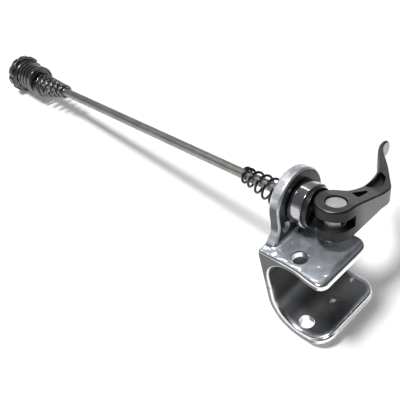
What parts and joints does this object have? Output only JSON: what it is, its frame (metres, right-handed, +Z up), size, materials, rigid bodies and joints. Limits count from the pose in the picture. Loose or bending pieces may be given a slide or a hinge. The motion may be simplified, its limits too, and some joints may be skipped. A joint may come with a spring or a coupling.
{
  "type": "bike trailer hitch",
  "caption": "Cast jaw bracket clamped beside a bicycle wheel by a quick-release skewer with cam lever, conical springs and adjusting nut; a pin through the jaw holds a trailer's tongue.",
  "frame": {"origin": "on the skewer's axis, in the bracket eye's wheel-side clamping face", "axes": "+X along the skewer towards the lever, which is outboard on the bicycle's left; +Y to the rear; +Z up, along the hitch pin's holes"},
  "size_m": [0.2406, 0.0837, 0.0695],
  "materials": {
    "bracket_metal": "polished plated casting",
    "rod_steel": "dull drawn steel",
    "pin_steel": "satin nickel",
    "lever_black": "satin black",
    "saddle_plastic": "semi-gloss black",
    "ferrule_chrome": "bright chrome",
    "spring_black": "black oxide wire",
    "spring_bright": "dark steel wire",
    "nut_black": "semi-gloss black",
    "insert_nylon": "plain nylon"
  },
  "bodies": {
    "skewer": {"skewer_rod": "rod_steel", "barrel_pin": "pin_steel"},
    "lever": {"cam_lever": "lever_black"},
    "clamp": {"cam_saddle": "saddle_plastic", "clamp_ferrule": "ferrule_chrome"},
    "hitch": {"hitch_bracket": "bracket_metal", "lever_side_spring": "spring_black"},
    "nut_carrier": {"nut_side_spring": "spring_bright"},
    "nut": {"adjusting_nut": "nut_black", "nut_lock_insert": "insert_nylon"}
  },
  "joints": [
    {"name": "lever_cam", "type": "hinge", "parent": "skewer", "child": "lever", "pos_m": [0.0226, 0, 0], "axis": [0, -0.1392, -0.9903], "range_deg": [0, 150]},
    {"name": "clamp_slide", "type": "slide", "parent": "skewer", "child": "clamp", "axis": [1, 0, 0], "range_m": [0, 0.0012]},
    {"name": "hitch_swivel", "type": "hinge", "parent": "clamp", "child": "hitch", "pos_m": [0, 0, 0], "axis": [1, 0, 0], "range_deg": [-20, 15]},
    {"name": "nut_travel", "type": "slide", "parent": "skewer", "child": "nut_carrier", "axis": [1, 0, 0], "range_m": [-0.008, 0.016]},
    {"name": "nut_turn", "type": "hinge", "parent": "nut_carrier", "child": "nut", "pos_m": [-0.19, 0, 0], "axis": [1, 0, 0], "range_deg": [-3600, 7200]}
  ],
  "couplings": [
    {"joint": "lever_cam", "follows": "clamp_slide", "rad_per_m": 2181.7},
    {"joint": "nut_turn", "follows": "nut_travel", "rad_per_m": 7854}
  ]
}
